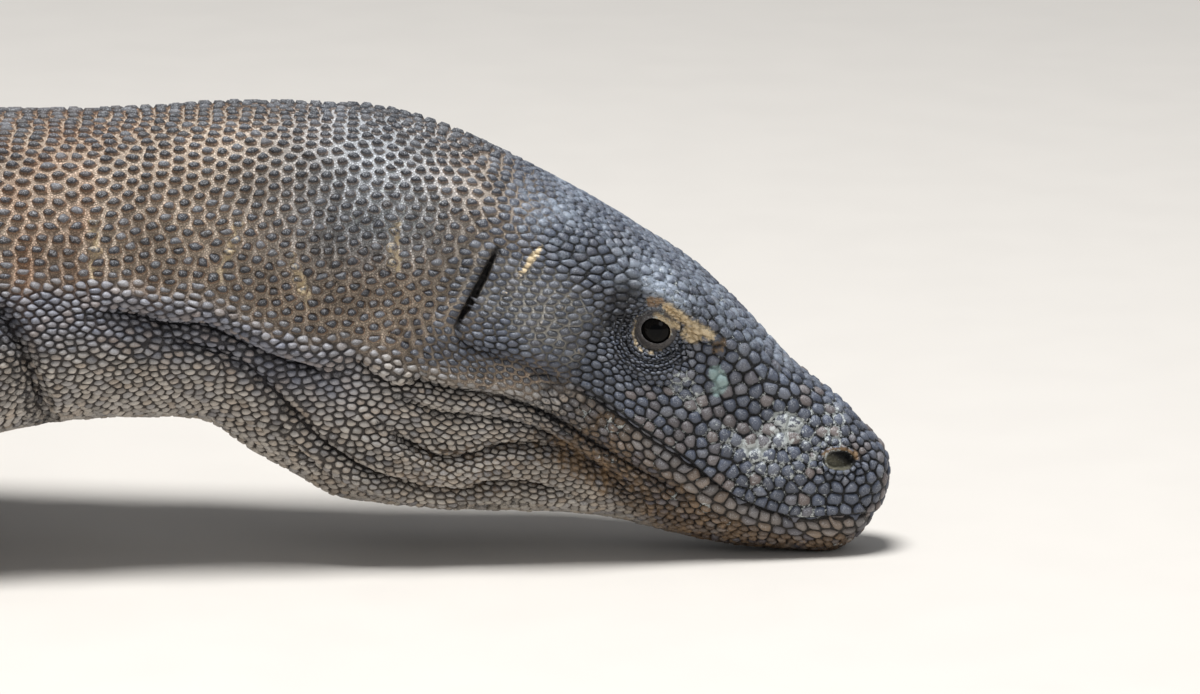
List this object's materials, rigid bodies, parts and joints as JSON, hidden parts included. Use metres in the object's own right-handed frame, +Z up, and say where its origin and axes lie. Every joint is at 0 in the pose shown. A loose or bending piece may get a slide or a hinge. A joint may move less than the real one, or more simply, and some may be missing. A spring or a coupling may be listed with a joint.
{
  "type": "komodo dragon",
  "caption": "Life-size still model of a large monitor lizard lying on its belly, neck arched over and chin on the floor, with spread legs and a curled tail.",
  "frame": {"origin": "centre of the belly's flat contact with the floor", "axes": "+X towards the snout, +Y towards the animal's left, +Z up"},
  "size_m": [2.5175, 0.8789, 0.2253],
  "materials": {
    "hide": "dull, scaly",
    "jaw_hide": "dull, scaly",
    "leg_hide": "dull, scaly",
    "eye": "wet gloss",
    "claw_horn": "satin horn"
  },
  "bodies": {
    "root": {"head": "hide", "neck": "hide", "trunk": "hide", "tail_base": "hide", "tail_middle": "hide", "tail_end": "hide", "lower_jaw": "jaw_hide", "eye_left": "eye", "foreleg_left_upper": "leg_hide", "foreleg_left_lower": "leg_hide", "foreleg_left_foot": "leg_hide", "foreleg_left_claw_1": "claw_horn", "foreleg_left_claw_2": "claw_horn", "foreleg_left_claw_3": "claw_horn", "foreleg_left_claw_4": "claw_horn", "foreleg_left_claw_5": "claw_horn", "hindleg_left_upper": "leg_hide", "hindleg_left_lower": "leg_hide", "hindleg_left_foot": "leg_hide", "hindleg_left_claw_1": "claw_horn", "hindleg_left_claw_2": "claw_horn", "hindleg_left_claw_3": "claw_horn", "hindleg_left_claw_4": "claw_horn", "hindleg_left_claw_5": "claw_horn", "eye_right": "eye", "foreleg_right_upper": "leg_hide", "foreleg_right_lower": "leg_hide", "foreleg_right_foot": "leg_hide", "foreleg_right_claw_1": "claw_horn", "foreleg_right_claw_2": "claw_horn", "foreleg_right_claw_3": "claw_horn", "foreleg_right_claw_4": "claw_horn", "foreleg_right_claw_5": "claw_horn", "hindleg_right_upper": "leg_hide", "hindleg_right_lower": "leg_hide", "hindleg_right_foot": "leg_hide", "hindleg_right_claw_1": "claw_horn", "hindleg_right_claw_2": "claw_horn", "hindleg_right_claw_3": "claw_horn", "hindleg_right_claw_4": "claw_horn", "hindleg_right_claw_5": "claw_horn"}
  },
  "joints": []
}
